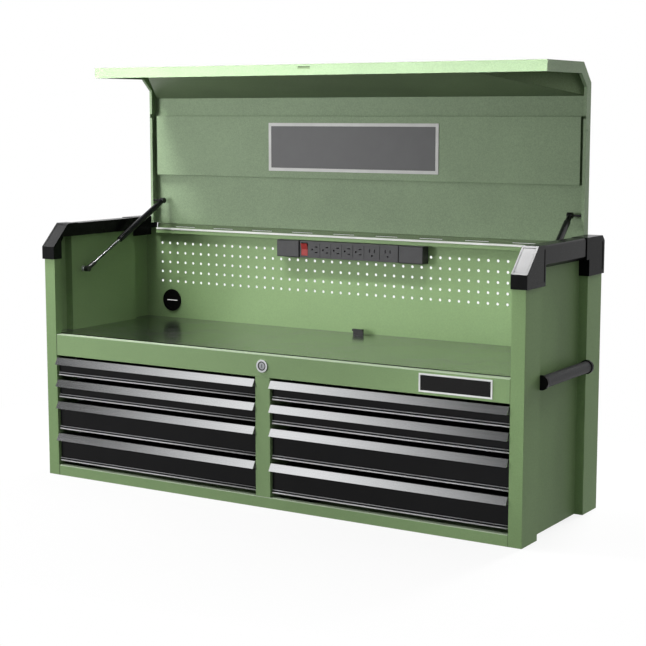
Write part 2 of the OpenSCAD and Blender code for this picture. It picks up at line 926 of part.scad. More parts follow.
module hinge_lid_leaf() {
    color(steel) translate([0, 0, hinge_z]) mirror([0, 0, 1]) translate([0, 0, -hinge_z]) hinge_leaf(1);
}

module hinge_pin() {
    color(steel) translate([0, hinge_y, hinge_z]) rod_x(hinge_pin_d, -hinge_hw, hinge_hw);
}

// Gas struts

// Draws along +Z what lies along the right strut, from its lower ball
module along_strut() {
    translate(body_ball)
        rotate([0, acos(strut_run.z / strut_l), atan2(strut_run.y, strut_run.x)])
            children();
}

module strut_body_studs() {
    reach = wall_x - body_ball.x;
    color(steel) on_both_sides() translate(body_ball) rotate([0, 90, 0]) {
        sphere(d = ball_d);
        cylinder(d = stud_d, h = reach);
        translate([0, 0, reach - stud_foot_t]) cylinder(d = stud_foot_d, h = stud_foot_t);
    }
}

module strut_rod() {
    color(steel) difference() {
        union() {
            along_strut() {
                cylinder(d = rod_d, h = tube_start + rod_in_tube);
                translate([0, 0, tube_start + rod_in_tube - piston_l])
                    cylinder(d = tube_d - 2 * tube_wall - 2 * run_gap, h = piston_l);
                cylinder(d = rod_end_d, h = rod_end_l);
            }
            translate(body_ball) rod_x(socket_d, -socket_w / 2, socket_w / 2);
        }
        translate(body_ball) rotate([0, 90, 0]) {
            sphere(d = ball_d + 2 * run_gap);
            cylinder(d = ball_d - 1, h = socket_w);
        }
    }
}

module strut_tube() {
    color(black) {
        along_strut() translate([0, 0, tube_start]) difference() {
            union() {
                cylinder(d = tube_d, h = tube_l - tube_end_l);
                cylinder(d = tube_end_d, h = tube_l + 1);
            }
            translate([0, 0, -cut]) cylinder(d = rod_d + 2 * pin_gap, h = gland_l + 2 * cut);
            translate([0, 0, gland_l])
                cylinder(d = tube_d - 2 * tube_wall, h = tube_l - tube_end_l - tube_floor - gland_l);
        }
        translate(lid_ball) rod_x(socket_d, -socket_w / 2, socket_w / 2);
    }
}

// The upper ball stays in the strut's socket, so each lid stud ends just short of it
module strut_lid_studs() {
    color(black) on_both_sides() translate([0, lid_ball.y, lid_ball.z])
        rod_x(stud_d, lid_ball.x + socket_w / 2 + pivot_gap, lid_hw - sheet);
}

// Drawers, drawn on the right and mirrored for the left bank

module drawer_box(bank, i) {
    x0 = bank_x0 + slide_t;
    x1 = bank_x1 - slide_t;
    rear = front_plane + drawer_l;
    low = row_bottom(i) + drawer_gap;
    color(black) on_side(bank) {
        difference() {
            block([x0, front_plane, box_low(i)], [x1, rear, box_high(i)]);
            block([x0 + sheet, front_plane + sheet, box_low(i) + sheet],
                  [x1 - sheet, rear - sheet, box_high(i) + cut]);
        }
        block([bank_x0 + front_gap, front_plane, low],
              [bank_x1 - front_gap, front_plane + sheet, row_top(i)]);
        translate([0, front_plane, low + bead_d / 2])
            rod_x(bead_d, bank_x0 + front_gap, bank_x1 - front_gap);
    }
}

module drawer_pull(bank, i) {
    top = row_top(i);
    color(aluminium) on_side(bank) along_x(bank_x0 + front_gap, bank_x1 - front_gap) folded([
        [front_plane, top - pull_plate],
        [front_plane, top],
        [front_y, top],
        [front_y - pull_lean, top - pull_h],
        [front_y - pull_lean + pull_curl.x, top - pull_h + pull_curl.y],
    ], pull_t);
}

module drawer_slides(bank, i) {
    color(steel) on_side(bank) on_bank_walls(i) drawer_member();
}

left_side_panel();
right_side_panel();
back_panel();
tray_floor();
tray_liner();
front_header();
centre_divider();
bottom_panel();
slide_uprights();
cabinet_slides();
front_caps();
rear_caps();
top_trims();
handle_grips();
handle_flanges();
power_strip_housing();
power_strip_ends();
cable_grommet();
lock_barrel();
hinge_body_leaf();
hinge_pin();
strut_body_studs();
lid_shell();
lid_liner();
lid_stiffener();
hinge_lid_leaf();
strut_lid_studs();
mirror([1, 0, 0]) strut_rod();  // left_strut_rod
mirror([1, 0, 0]) strut_tube();  // left_strut_tube
strut_rod();  // right_strut_rod
strut_tube();  // right_strut_tube
rocker_switch();
lock_plug();
lock_cam();
lock_bar();
for (bank = BANKS, i = ROWS) {
    drawer_box(bank, i);
    drawer_pull(bank, i);
    drawer_slides(bank, i);
}
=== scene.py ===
import math

import bmesh
import bpy
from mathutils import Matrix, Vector


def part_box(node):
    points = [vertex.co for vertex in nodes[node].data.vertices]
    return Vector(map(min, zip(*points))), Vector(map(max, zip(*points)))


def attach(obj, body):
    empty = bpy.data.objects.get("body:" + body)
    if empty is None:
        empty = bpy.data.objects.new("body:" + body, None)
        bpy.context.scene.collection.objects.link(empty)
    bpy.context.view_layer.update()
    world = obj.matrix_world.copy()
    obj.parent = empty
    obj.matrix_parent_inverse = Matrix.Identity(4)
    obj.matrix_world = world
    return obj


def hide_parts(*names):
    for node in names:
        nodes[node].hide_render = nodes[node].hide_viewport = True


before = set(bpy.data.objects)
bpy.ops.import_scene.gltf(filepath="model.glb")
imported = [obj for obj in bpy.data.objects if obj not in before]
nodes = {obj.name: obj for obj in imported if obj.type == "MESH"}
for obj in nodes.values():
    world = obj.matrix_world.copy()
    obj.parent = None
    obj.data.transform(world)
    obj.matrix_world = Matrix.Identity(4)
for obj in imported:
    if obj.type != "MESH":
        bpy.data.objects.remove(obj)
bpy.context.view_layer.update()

print("frame loaded:", len(nodes), "nodes")


# shader maths: a socket that takes part in plain expressions
class Wire:
    def __init__(self, finish, socket):
        self.finish = finish
        self.socket = socket

    def maths(self, operation, *values):
        return self.finish.add("ShaderNodeMath", {"operation": operation}, dict(enumerate(values)))

    def __add__(self, other):
        return self.maths("ADD", self, other)

    def __sub__(self, other):
        return self.maths("SUBTRACT", self, other)

    def __rsub__(self, other):
        return self.maths("SUBTRACT", other, self)

    def __mul__(self, other):
        return self.maths("MULTIPLY", self, other)

    def __lt__(self, other):
        return self.maths("LESS_THAN", self, other)

    def __gt__(self, other):
        return self.maths("GREATER_THAN", self, other)

    __radd__ = __add__
    __rmul__ = __mul__


# one material, with its shader and the nodes that feed it
class Finish:
    def __init__(self, name):
        self.material = bpy.data.materials.new(name)
        self.material.use_nodes = True
        self.tree = self.material.node_tree
        self.tree.nodes.clear()
        self.output = self.tree.nodes.new("ShaderNodeOutputMaterial")
        self.shader = self.tree.nodes.new("ShaderNodeBsdfPrincipled")
        self.lit = Wire(self, self.shader.outputs[0])
        self.show(self.lit)

    def show(self, wire):
        self.tree.links.new(wire.socket, self.output.inputs["Surface"])

    def feed(self, socket, value):
        if isinstance(value, Wire):
            self.tree.links.new(value.socket, socket)
        elif socket.type == "RGBA":
            socket.default_value = (*value, 1)  # colours are written without alpha
        else:
            socket.default_value = value

    # any node: its settings first, then the values or links of its sockets
    def add(self, kind, settings=None, sockets=None, output=0):
        node = self.tree.nodes.new(kind)
        for key, value in (settings or {}).items():
            setattr(node, key, value)
        for key, value in (sockets or {}).items():
            self.feed(node.inputs[key], value)
        return Wire(self, node.outputs[output])

    def place(self):
        return self.add("ShaderNodeTexCoord", output="Object")

    def axis(self, letter):
        return self.add("ShaderNodeSeparateXYZ", None, {0: self.place()}, letter)

    def vector(self, operation, *values, output="Vector"):
        return self.add("ShaderNodeVectorMath", {"operation": operation}, dict(enumerate(values)), output)

    # object coordinates, stretched by a factor on each axis
    def stretched(self, factors):
        return self.vector("MULTIPLY", self.place(), factors)

    def noise(self, scale, detail=2, vector=None):
        sockets = {"Vector": vector or self.place(), "Scale": scale, "Detail": detail}
        return self.add("ShaderNodeTexNoise", None, sockets)

    def pebbles(self, scale):
        sockets = {"Vector": self.place(), "Scale": scale}
        return self.add("ShaderNodeTexVoronoi", {"feature": "SMOOTH_F1"}, sockets)

    # a value squeezed between two levels, so that its middle range fills 0 to 1
    def levels(self, value, low, high):
        sockets = {"Value": value, "From Min": low, "From Max": high}
        return self.add("ShaderNodeMapRange", {"clamp": True}, sockets)

    def blend(self, amount, first, second):
        settings = {"data_type": "RGBA", "blend_type": "MIX"}
        return self.add("ShaderNodeMix", settings, {0: amount, 6: first, 7: second}, 2)

    # a colour that runs from a darker tone to a lighter one
    def toned(self, amount, colour, tones):
        return self.blend(amount, *(lighter(colour, tone) for tone in tones))

    def bump(self, height, strength, distance):
        sockets = {"Height": height, "Strength": strength, "Distance": distance}
        self.surface(Normal=self.add("ShaderNodeBump", None, sockets))

    def surface(self, **sockets):
        for key, value in sockets.items():
            self.feed(self.shader.inputs[key.replace("_", " ")], value)


def lighter(colour, factor):
    return tuple(min(1, channel * factor) for channel in colour)


# powder coat: a fine leathery grain with soft mottling
greenCoat = {
    "colour": (0.216, 0.328, 0.150),
    "mottle": 0.07,
    "grainScale": 620,
    "speckleScale": 1500,
    "speckleShare": 0.5,
    "fleckScale": 360,
    "cloudScale": 9,
    "shares": (0.55, 0.25, 0.20),  # fleck, grain and cloud in the mottling
    "range": (0.36, 0.64),
    "roughness": 0.46,
    "roughnessSwing": 0.16,
    "specular": 0.24,
    "bump": 0.22,
    "depth": 0.0006,
}
sideCoat = {**greenCoat, "specular": 0.12}
# the lid's coat is greyer than the body's green: a painted sheen for the haze of light reflected on the lid,
# with a coarser sandy grain
lidSheenCoat = {**greenCoat, "colour": (0.232, 0.318, 0.190), "mottle": 0.15, "fleckScale": 420, "bump": 0.30}
# a darker copy of the lid's green: painted shade, for the liner under the lid's lip and the hinge leaves
# under its overhang
paintedShadeCoat = {**lidSheenCoat, "colour": (0.150, 0.206, 0.114), "specular": 0.12}
# a lighter copy for the liner's end plates: painted light, so that they read as lit though they sit in shade
linerEndLitCoat = {**paintedShadeCoat, "colour": (0.320, 0.432, 0.242)}

# header and bottom rail: a dark joint at each post, and a painted highlight along the top fold where it
# catches the light
jointLine = {"left": 0.0022, "right": 0.0010, "shade": 0.36}
foldHighlight = {"width": 0.0015, "colour": (0.46, 0.56, 0.40)}


def powderCoat(name, settings, joint=None, fold=None):
    finish = Finish(name)
    grain = finish.noise(settings["grainScale"], detail=3)
    speckle = finish.noise(settings["speckleScale"], detail=1)
    cloud = finish.noise(settings["cloudScale"])
    fleck = finish.noise(settings["fleckScale"])
    fleckShare, grainShare, cloudShare = settings["shares"]
    mottling = fleck * fleckShare + grain * grainShare + cloud * cloudShare
    tones = (1 - settings["mottle"], 1 + settings["mottle"])
    tint = finish.toned(finish.levels(mottling, *settings["range"]), settings["colour"], tones)
    if joint:
        along = finish.axis("X")
        # painted highlight: the top fold is made paler where light would catch it
        foldHighlightMask = finish.axis("Z") > fold - foldHighlight["width"]
        tint = finish.blend(foldHighlightMask, tint, foldHighlight["colour"])
        leftLine = along < jointLine["left"] - joint
        rightLine = along > joint - jointLine["right"]
        tint = finish.blend(leftLine + rightLine, tint, lighter(settings["colour"], jointLine["shade"]))
    swing = settings["roughnessSwing"]
    finish.surface(
        Base_Color=tint,
        Roughness=grain * swing + (settings["roughness"] - swing / 2),
        Specular_IOR_Level=settings["specular"],
    )
    finish.bump(grain + speckle * settings["speckleShare"], settings["bump"], settings["depth"])
    return finish.material


# moulded black plastic with a pebbled skin
mouldedSkin = {"cloudScale": 30, "range": (0.3, 0.7), "tones": (0.85, 1.15), "skinSwing": 0.18,
               "cloudSwing": 0.1, "offset": 0.1, "depth": 0.0004}
capPlastic = {"colour": (0.0045, 0.0045, 0.005), "pebbles": 900, "roughness": 0.20, "specular": 0.07,
              "bump": 0.10}
rearCapPlastic = {**capPlastic, "specular": 0.03}
stripPlastic = {"colour": (0.042, 0.042, 0.044), "pebbles": 1600, "roughness": 0.42, "specular": 0.25,
                "bump": 0.15}
grommetPlastic = {"colour": (0.004, 0.004, 0.004), "pebbles": 1600, "roughness": 0.45, "specular": 0.05,
                  "bump": 0.15}
gripRubber = {"colour": (0.026, 0.026, 0.028), "pebbles": 1100, "roughness": 0.58, "specular": 0.25,
              "bump": 0.45}


def mouldedPlastic(name, settings):
    finish = Finish(name)
    skin = finish.pebbles(settings["pebbles"])
    cloud = finish.noise(mouldedSkin["cloudScale"], detail=3)
    mix = finish.levels(cloud, *mouldedSkin["range"])
    finish.surface(
        Base_Color=finish.toned(mix, settings["colour"], mouldedSkin["tones"]),
        Roughness=skin * mouldedSkin["skinSwing"] + cloud * mouldedSkin["cloudSwing"]
        + (settings["roughness"] - mouldedSkin["offset"]),
        Specular_IOR_Level=settings["specular"],
    )
    finish.bump(skin, settings["bump"], mouldedSkin["depth"])
    return finish.material


# satin paint on the drawers and small pieces, smoother than the coat
satinSkin = {"cloudScale": 14, "tones": (0.8, 1.2), "grainSwing": 0.10, "cloudSwing": 0.06, "offset": 0.08,
             "depth": 0.0004}
drawerPaint = {"colour": (0.0070, 0.0070, 0.0075), "grainScale": 1300, "roughness": 0.32, "specular": 0.08,
               "bump": 0.10}
# pale grey beads on the black drawer fronts: painted highlights along their foot, one bright and one dim
brightBeadHighlight = {"colour": (0.60, 0.60, 0.61), "grainScale": 900, "roughness": 0.30, "specular": 0.5,
              "bump": 0.02}
dimBeadHighlight = {**brightBeadHighlight, "colour": (0.30, 0.30, 0.31), "specular": 0.4}
tubePaint = {"colour": (0.004, 0.004, 0.005), "grainScale": 1800, "roughness": 0.20, "specular": 0.30,
             "bump": 0.03}
# the tray liner's cut front edge is dull, and written darker than the vinyl as a painted shade line
cutEdgeShade = {"colour": (0.004, 0.004, 0.004), "grainScale": 900, "roughness": 0.6, "specular": 0.03,
           "bump": 0.05}


def satinPaint(name, settings):
    finish = Finish(name)
    grain = finish.noise(settings["grainScale"])
    cloud = finish.noise(satinSkin["cloudScale"], detail=3)
    finish.surface(
        Base_Color=finish.toned(cloud, settings["colour"], satinSkin["tones"]),
        Roughness=grain * satinSkin["grainSwing"] + cloud * satinSkin["cloudSwing"]
        + (settings["roughness"] - satinSkin["offset"]),
        Specular_IOR_Level=settings["specular"],
    )
    finish.bump(grain, settings["bump"], satinSkin["depth"])
    return finish.material


# extruded aluminium, brushed along its length; its foot against the drawer, behind the blade, is painted
# black as shade
pullMetal = {"colour": (0.79, 0.80, 0.81), "tones": (0.9, 1.06), "streak": (3, 900, 900), "cloudScale": 6,
             "roughness": 0.15, "swing": 0.05, "cloudSwing": 0.03, "bump": 0.03, "depth": 0.0001,
             "foot": 0.0026, "footShadeColour": (0.010, 0.010, 0.011), "footRoughness": 0.3}


def brushedAluminium(name, settings, back):
    finish = Finish(name)
    # painted shade: the part of the pull behind its blade is made black
    foot = finish.axis("Y") > back - settings["foot"]
    streak = finish.noise(1, detail=4, vector=finish.stretched(settings["streak"]))
    cloud = finish.noise(settings["cloudScale"])
    blade = finish.toned(streak, settings["colour"], settings["tones"])
    swing = settings["swing"]
    finish.surface(
        Metallic=1 - foot,
        Base_Color=finish.blend(foot, blade, settings["footShadeColour"]),
        Roughness=foot * settings["footRoughness"] + streak * swing + cloud * settings["cloudSwing"]
        + (settings["roughness"] - swing / 2),
    )
    finish.bump(streak, settings["bump"], settings["depth"])
    return finish.material


# plated steel and polished chrome
platedSkin = {"hazeScale": 40, "tones": (0.88, 1.08), "swing": 0.16, "bump": 0.03, "depth": 0.0003}
zincPlate = {"colour": (0.56, 0.57, 0.58), "roughness": 0.34, "flake": 220}
lockChrome = {"colour": (0.30, 0.31, 0.32), "roughness": 0.20, "flake": 60}


def platedMetal(name, settings):
    finish = Finish(name)
    flake = finish.pebbles(settings["flake"])
    haze = finish.noise(platedSkin["hazeScale"], detail=4)
    swing = platedSkin["swing"]
    finish.surface(
        Metallic=1.0,
        Base_Color=finish.toned(flake, settings["colour"], platedSkin["tones"]),
        Roughness=haze * swing + (settings["roughness"] - swing / 2),
    )
    finish.bump(haze, platedSkin["bump"], platedSkin["depth"])
    return finish.material


# smooth vinyl liner of the tray, with a faint wave
linerVinyl = {"colour": (0.012, 0.014, 0.012), "tones": (0.85, 1.2), "waveScale": 5, "grainScale": 700,
              "roughness": 0.27, "grainSwing": 0.10, "waveSwing": 0.08, "offset": 0.09, "coat": 1.0,
              "coatRoughness": 0.16, "coatIndex": 1.8, "bump": 0.08, "depth": 0.0003}


def vinylSheet(name, settings):
    finish = Finish(name)
    wave = finish.noise(settings["waveScale"])
    grain = finish.noise(settings["grainScale"])
    finish.surface(
        Base_Color=finish.toned(wave, settings["colour"], settings["tones"]),
        Roughness=grain * settings["grainSwing"] + wave * settings["waveSwing"]
        + (settings["roughness"] - settings["offset"]),
        Coat_Weight=settings["coat"],
        Coat_Roughness=settings["coatRoughness"],
        Coat_IOR=settings["coatIndex"],
    )
    finish.bump(grain, settings["bump"], settings["depth"])
    return finish.material


# red moulded switch
rockerGloss = {"colour": (0.27, 0.026, 0.024), "tones": (0.85, 1.15), "cloudScale": 120, "roughness": 0.42,
               "swing": 0.08, "specular": 0.25, "bump": 0.04, "depth": 0.0002}


def glossPlastic(name, settings):
    finish = Finish(name)
    cloud = finish.noise(settings["cloudScale"], detail=3)
    swing = settings["swing"]
    finish.surface(
        Base_Color=finish.toned(cloud, settings["colour"], settings["tones"]),
        Roughness=cloud * swing + (settings["roughness"] - swing / 2),
        Specular_IOR_Level=settings["specular"],
    )
    finish.bump(cloud, settings["bump"], settings["depth"])
    return finish.material


# strut rod: its chrome shaft written dark grey, a painted reflection of dark surroundings, with a black end
# fitting round its lower ball
strutRod = {"fittingReach": 0.0285, "fitting": (0.008, 0.008, 0.009), "fittingRoughness": 0.22,
            "shaft": (0.15, 0.155, 0.16), "tones": (0.9, 1.1), "scratches": (900, 60, 60), "roughness": 0.16,
            "swing": 0.1, "bump": 0.03, "depth": 0.0002, "ballInset": 0.014}


def rodMetal(name, settings, ball):
    finish = Finish(name)
    fitting = finish.vector("DISTANCE", finish.place(), ball, output="Value") < settings["fittingReach"]
    scratches = finish.noise(1, detail=3, vector=finish.stretched(settings["scratches"]))
    shaft = finish.toned(scratches, settings["shaft"], settings["tones"])
    finish.surface(
        Metallic=1 - fitting,
        Base_Color=finish.blend(fitting, shaft, settings["fitting"]),
        Roughness=fitting * settings["fittingRoughness"] + scratches * settings["swing"]
        + settings["roughness"],
    )
    finish.bump(scratches, settings["bump"], settings["depth"])
    return finish.material


# lock face: a bright bezel, with a dark ring round the plug painted as the shade in the recess between them
lockBezel = {"colour": (0.50, 0.51, 0.52), "tones": (0.9, 1.1), "roughness": 0.20, "swing": 0.16,
             "hazeScale": 40, "inner": 0.0080, "outer": 0.0105, "ring": (0.012, 0.012, 0.013)}


def lockFace(name, settings, centre):
    finish = Finish(name)
    across = finish.vector("SUBTRACT", finish.place(), centre)
    flat = finish.vector("MULTIPLY", across, (1, 0, 1))
    away = finish.vector("LENGTH", flat, output="Value")
    # painted shade: a dark ring where the recess round the plug lies
    ring = (away > settings["inner"]) * (away < settings["outer"])
    haze = finish.noise(settings["hazeScale"], detail=4)
    bright = finish.toned(haze, settings["colour"], settings["tones"])
    swing = settings["swing"]
    finish.surface(
        Metallic=1 - ring,
        Base_Color=finish.blend(ring, bright, settings["ring"]),
        Roughness=haze * swing + (settings["roughness"] - swing / 2),
    )
    return finish.material


def middle(node):
    low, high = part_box(node)
    return tuple((a + b) / 2 for a, b in zip(low, high))


coat = powderCoat("sage powder coat", greenCoat)
wallCoat = powderCoat("side powder coat", sideCoat)
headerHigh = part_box("front_header")[1]
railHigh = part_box("bottom_panel")[1]
headerCoat = powderCoat("header powder coat", greenCoat, headerHigh[0], headerHigh[2])
railCoat = powderCoat("rail powder coat", greenCoat, headerHigh[0], railHigh[2])
sandySheenCoat = powderCoat("sandy lid coat with painted sheen", lidSheenCoat)
shadeCoat = powderCoat("painted shade coat", paintedShadeCoat)
endLitCoat = powderCoat("liner end coat with painted light", linerEndLitCoat)
cap = mouldedPlastic("pebbled cap plastic", capPlastic)
rearCap = mouldedPlastic("rear cap plastic", rearCapPlastic)
stripSkin = mouldedPlastic("power strip plastic", stripPlastic)
grommetSkin = mouldedPlastic("grommet plastic", grommetPlastic)
grip = mouldedPlastic("grip rubber", gripRubber)
drawerSkin = satinPaint("drawer paint", drawerPaint)
beadHighlightBright = satinPaint("painted bright bead highlight", brightBeadHighlight)
beadHighlightDim = satinPaint("painted dim bead highlight", dimBeadHighlight)
tubeSkin = satinPaint("strut tube paint", tubePaint)
pullSkin = brushedAluminium("brushed pull", pullMetal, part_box("left_drawer_1_pull")[1][1])
zinc = platedMetal("zinc plate", zincPlate)
chrome = platedMetal("lock chrome", lockChrome)
bezel = lockFace("lock bezel", lockBezel, middle("lock_plug"))
liner = vinylSheet("tray liner", linerVinyl)
linerEdgeShade = satinPaint("cut liner edge in painted shade", cutEdgeShade)
switchRed = glossPlastic("rocker red", rockerGloss)

finishOf = {
    "front_caps": cap, "rear_caps": rearCap, "top_trims": cap, "handle_flanges": cap, "lock_bar": cap,
    "power_strip_housing": stripSkin, "power_strip_ends": stripSkin, "cable_grommet": grommetSkin,
    "handle_grips": grip, "tray_liner": liner, "lock_barrel": bezel, "lock_plug": chrome,
    "rocker_switch": switchRed, "strut_lid_studs": tubeSkin,
    "left_strut_tube": tubeSkin, "right_strut_tube": tubeSkin,
    "lock_cam": zinc, "slide_uprights": zinc, "cabinet_slides": zinc, "strut_body_studs": zinc,
    # the hinge leaves take the darker green, painted shade under the lid's overhang
    "hinge_body_leaf": shadeCoat, "hinge_lid_leaf": shadeCoat, "hinge_pin": zinc,
    "front_header": headerCoat, "bottom_panel": railCoat,
    "left_side_panel": wallCoat, "right_side_panel": wallCoat,
    "lid_shell": sandySheenCoat, "lid_stiffener": sandySheenCoat,
}
endFinish = {"box": drawerSkin, "pull": pullSkin, "slides": zinc}

# each rod's lower ball is on its stud's inner end, a little way in from the wall
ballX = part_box("strut_body_studs")[1][0] - strutRod["ballInset"]
ballYZ = middle("strut_body_studs")[1:]
for side, sign in (("left", -1), ("right", 1)):
    finishOf[side + "_strut_rod"] = rodMetal(side + " strut rod", strutRod, (sign * ballX, *ballYZ))

for name, obj in nodes.items():
    skin = finishOf.get(name) or endFinish.get(name.rsplit("_", 1)[-1]) or coat
    obj.data.materials.clear()
    obj.data.materials.append(skin)

# the liner's front faces show its cut edge, painted near-black as shade
frontFacing = -0.9
trayLiner = nodes["tray_liner"].data
trayLiner.materials.append(linerEdgeShade)
for face in trayLiner.polygons:
    face.material_index = 1 if face.normal.y < frontFacing else 0
print("materials set")

# round parts are smooth, and their edges stay sharp
sharpAngle = 32
for obj in nodes.values():
    obj.data.polygons.foreach_set("use_smooth", [True] * len(obj.data.polygons))
    obj.data.set_sharp_from_angle(angle=math.radians(sharpAngle))

# folded sheet and moulded edges catch a thin line of light
edgeRounding = {
    "sheet": {"width": 0.00045, "segments": 2, "angle": 35,
              "nodes": ["left_side_panel", "right_side_panel", "front_header", "centre_divider",
                        "bottom_panel", "lid_shell", "lid_stiffener"]},
    "moulding": {"width": 0.0011, "segments": 3, "angle": 35,
                 "nodes": ["front_caps", "rear_caps", "top_trims", "power_strip_ends"]},
}
edgeCleaning = {"weld": 0.00001, "flatAngle": 1}


def bevelEdges(obj, settings):
    bevel = obj.modifiers.new("edges", "BEVEL")
    bevel.width = settings["width"]
    bevel.segments = settings["segments"]
    bevel.limit_method = "ANGLE"
    bevel.angle_limit = math.radians(settings["angle"])


def roundEdges(obj, settings):
    weld = obj.modifiers.new("weld", "WELD")
    weld.merge_threshold = edgeCleaning["weld"]
    flatten = obj.modifiers.new("flatten", "DECIMATE")
    flatten.decimate_type = "DISSOLVE"
    flatten.angle_limit = math.radians(edgeCleaning["flatAngle"])
    bevelEdges(obj, settings)


for settings in edgeRounding.values():
    for name in settings["nodes"]:
        polygons = nodes[name].data.polygons
        polygons.foreach_set("use_smooth", [False] * len(polygons))
        roundEdges(nodes[name], settings)
print("edges rounded")


def newPiece(name, mesh, materials, body):
    obj = bpy.data.objects.new(name, mesh)
    bpy.context.scene.collection.objects.link(obj)
    for material in materials:
        mesh.materials.append(material)
    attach(obj, body)
    return obj


def shapedPiece(name, shape, materials, body):
    bmesh.ops.recalc_face_normals(shape, faces=shape.faces)
    mesh = bpy.data.meshes.new(name)
    shape.to_mesh(mesh)
    shape.free()
    return newPiece(name, mesh, materials, body)


# a band of faces between two closed rows of vertices
def joinRows(shape, first, second):
    for k in range(len(first)):
        n = (k + 1) % len(first)
        shape.faces.new((first[k], first[n], second[n], second[k]))


# a plate in the XZ plane with a raised rim, its back at y and its face towards -Y
def rimmedPlate(name, settings, centre, body, rimFinish, faceFinish):
    halfW = settings["width"] / 2
    halfH = settings["height"] / 2
    rim = settings["rim"]
    thick = settings["thick"]
    sunk = settings["sunk"]
    shape = bmesh.new()

    def ring(inset, depth):
        w = halfW - inset
        h = halfH - inset
        corners = [(-w, -h), (w, -h), (w, h), (-w, h)]
        return [shape.verts.new((centre[0] + x, centre[1] - depth, centre[2] + z)) for x, z in corners]

    rings = [ring(0, 0), ring(0, thick), ring(rim, thick), ring(rim + sunk, thick - sunk)]
    for first, second in zip(rings, rings[1:]):
        joinRows(shape, first, second)
    panel = shape.faces.new(rings[-1])
    panel.material_index = 1
    shape.faces.new(rings[0][::-1])
    obj = shapedPiece(name, shape, [rimFinish, faceFinish], body)
    bevelEdges(obj, plateEdge)
    return obj


# bare plates on the lid's stiffener and on the header
plateEdge = {"width": 0.0003, "segments": 2, "angle": 40}
plateGrain = {"grainScale": 900, "bump": 0.05}
plateFinishes = {
    "paleRim": {**plateGrain, "colour": (0.62, 0.62, 0.61), "roughness": 0.40, "specular": 0.3},
    "slateFace": {**plateGrain, "colour": (0.110, 0.110, 0.114), "roughness": 0.42, "specular": 0.2},
    "inkFace": {**plateGrain, "colour": (0.008, 0.008, 0.008), "roughness": 0.38, "specular": 0.1},
    "brightRim": {**plateGrain, "colour": (0.74, 0.75, 0.74), "roughness": 0.36, "specular": 0.3},
}
paleRim, slateFace, inkFace, brightRim = (satinPaint(key, value) for key, value in plateFinishes.items())

lidPlate = {"width": 0.472, "height": 0.117, "rim": 0.0075, "thick": 0.0016, "sunk": 0.0004}
centre = (0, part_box("lid_stiffener")[0][1], middle("lid_stiffener")[2])
plate = rimmedPlate("lidPlate", lidPlate, centre, "lid", paleRim, slateFace)

headerPlate = {"width": 0.170, "height": 0.040, "rim": 0.0034, "thick": 0.0018, "sunk": 0.0004, "x": 0.480}
centre = (headerPlate["x"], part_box("front_header")[0][1], middle("front_header")[2])
plate = rimmedPlate("headerPlate", headerPlate, centre, "cabinet", brightRim, inkFace)
print("plates built")


# low domed heads turned round an axis, one at each point
def domedHeads(name, points, outward, settings, finish, body):
    shape = bmesh.new()
    outward = Vector(outward)
    across = outward.orthogonal().normalized()
    along = outward.cross(across)
    angles = [math.tau * k / settings["sides"] for k in range(settings["sides"])]
    spokes = [across * math.cos(a) + along * math.sin(a) for a in angles]
    profile = [(1.0, 0.0), (1.0, 0.25), (0.86, 0.62), (0.55, 0.9), (0.2, 1.0)]  # shares of radius and height
    for point in points:
        rows = []
        for share, rise in profile:
            centre = Vector(point) + outward * (rise * settings["height"])
            rows.append([shape.verts.new(centre + spoke * share * settings["radius"]) for spoke in spokes])
        for first, second in zip(rows, rows[1:]):
            joinRows(shape, first, second)
        shape.faces.new(rows[-1])
        shape.faces.new(rows[0][::-1])
    for face in shape.faces:
        face.smooth = True
    return shapedPiece(name, shape, [finish], body)


# half-round beads along the foot of each drawer front, painted pale as highlights: the lower one bright, the
# upper one dim
drawerBeads = {"lowRise": 0.0016, "lowRadius": 0.0016, "highRise": 0.0076, "highRadius": 0.0011,
               "endGap": 0.0004, "sink": 0.0002, "steps": 10, "drawers": 4}


def halfRound(name, span, y, rows, finishes, body):
    shape = bmesh.new()
    steps = drawerBeads["steps"]
    arc = [math.pi * k / steps for k in range(steps + 1)]
    for index, (z, radius) in enumerate(rows):
        outline = [(y - radius * math.sin(a), z + radius * math.cos(a)) for a in arc]
        left, right = ([shape.verts.new((x, *spot)) for spot in outline] for x in span)
        faces = [shape.faces.new((left[k], left[k + 1], right[k + 1], right[k])) for k in range(steps)]
        for face in faces:
            face.smooth = True
        faces.append(shape.faces.new((left[-1], left[0], right[0], right[-1])))
        faces += [shape.faces.new(end) for end in (left, right)]
        for face in faces:
            face.material_index = index
    return shapedPiece(name, shape, finishes, body)


for side in ("left", "right"):
    for row in range(1, drawerBeads["drawers"] + 1):
        body = f"{side}_drawer_{row}"
        low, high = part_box(body + "_box")
        y = low[1] + drawerBeads["sink"]
        span = (low[0] + drawerBeads["endGap"], high[0] - drawerBeads["endGap"])
        rows = [(low[2] + drawerBeads["lowRise"], drawerBeads["lowRadius"]),
                (low[2] + drawerBeads["highRise"], drawerBeads["highRadius"])]
        bead = halfRound(f"{side}Drawer{row}Beads", span, y, rows, [beadHighlightBright, beadHighlightDim], body)
print("beads built")

# pale strip along the front of the rear flange: a painted highlight for the light caught along the flange's
# top
rearFlangeHighlight = {"halfLength": 0.590, "height": 0.0046, "thick": 0.0014, "aboveFlange": 0.0006}
flangeHighlightPaint = {"colour": (0.82, 0.83, 0.80), "grainScale": 900, "roughness": 0.5, "specular": 0.3,
              "bump": 0.08}


def barPiece(name, low, high, finish, body):
    shape = bmesh.new()
    bmesh.ops.create_cube(shape, size=1)
    for vert in shape.verts:
        for axis in range(3):
            vert.co[axis] = low[axis] if vert.co[axis] < 0 else high[axis]
    return shapedPiece(name, shape, [finish], body)


